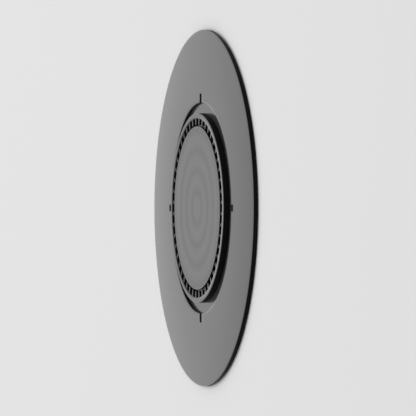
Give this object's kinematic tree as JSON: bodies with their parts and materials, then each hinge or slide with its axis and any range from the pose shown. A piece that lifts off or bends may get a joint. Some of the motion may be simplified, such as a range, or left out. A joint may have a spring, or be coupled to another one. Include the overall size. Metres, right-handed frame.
{
  "type": "magnetic phone patch",
  "caption": "Thin round adhesive patch for a phone's back, with a domed face ring and a low toothed magnetic docking boss.",
  "frame": {"origin": "centre of the adhesive pad's underside, the face that sticks to the phone", "axes": "+Z out of the docking side, +Y towards the index notch at 12 o'clock, +X towards the one at 3 o'clock"},
  "size_m": [0.06, 0.06, 0.0019],
  "materials": {
    "adhesive_foam": "fine-celled foam",
    "black_plastic": "fine matt",
    "plated_steel": "rolled",
    "plated_magnet": "nickel plated",
    "ring_plastic": "black, with satin upper faces and dull walls",
    "cap_plastic": "black satin with fine turned rings",
    "face_plastic": "black satin"
  },
  "bodies": {
    "root": {"adhesive_pad": "adhesive_foam", "base_plate": "black_plastic", "yoke_disc": "plated_steel", "magnet_top": "plated_magnet", "magnet_right": "plated_magnet", "magnet_bottom": "plated_magnet", "magnet_left": "plated_magnet", "dock_ring": "ring_plastic", "centre_cap": "cap_plastic", "face_ring": "face_plastic"}
  },
  "joints": []
}
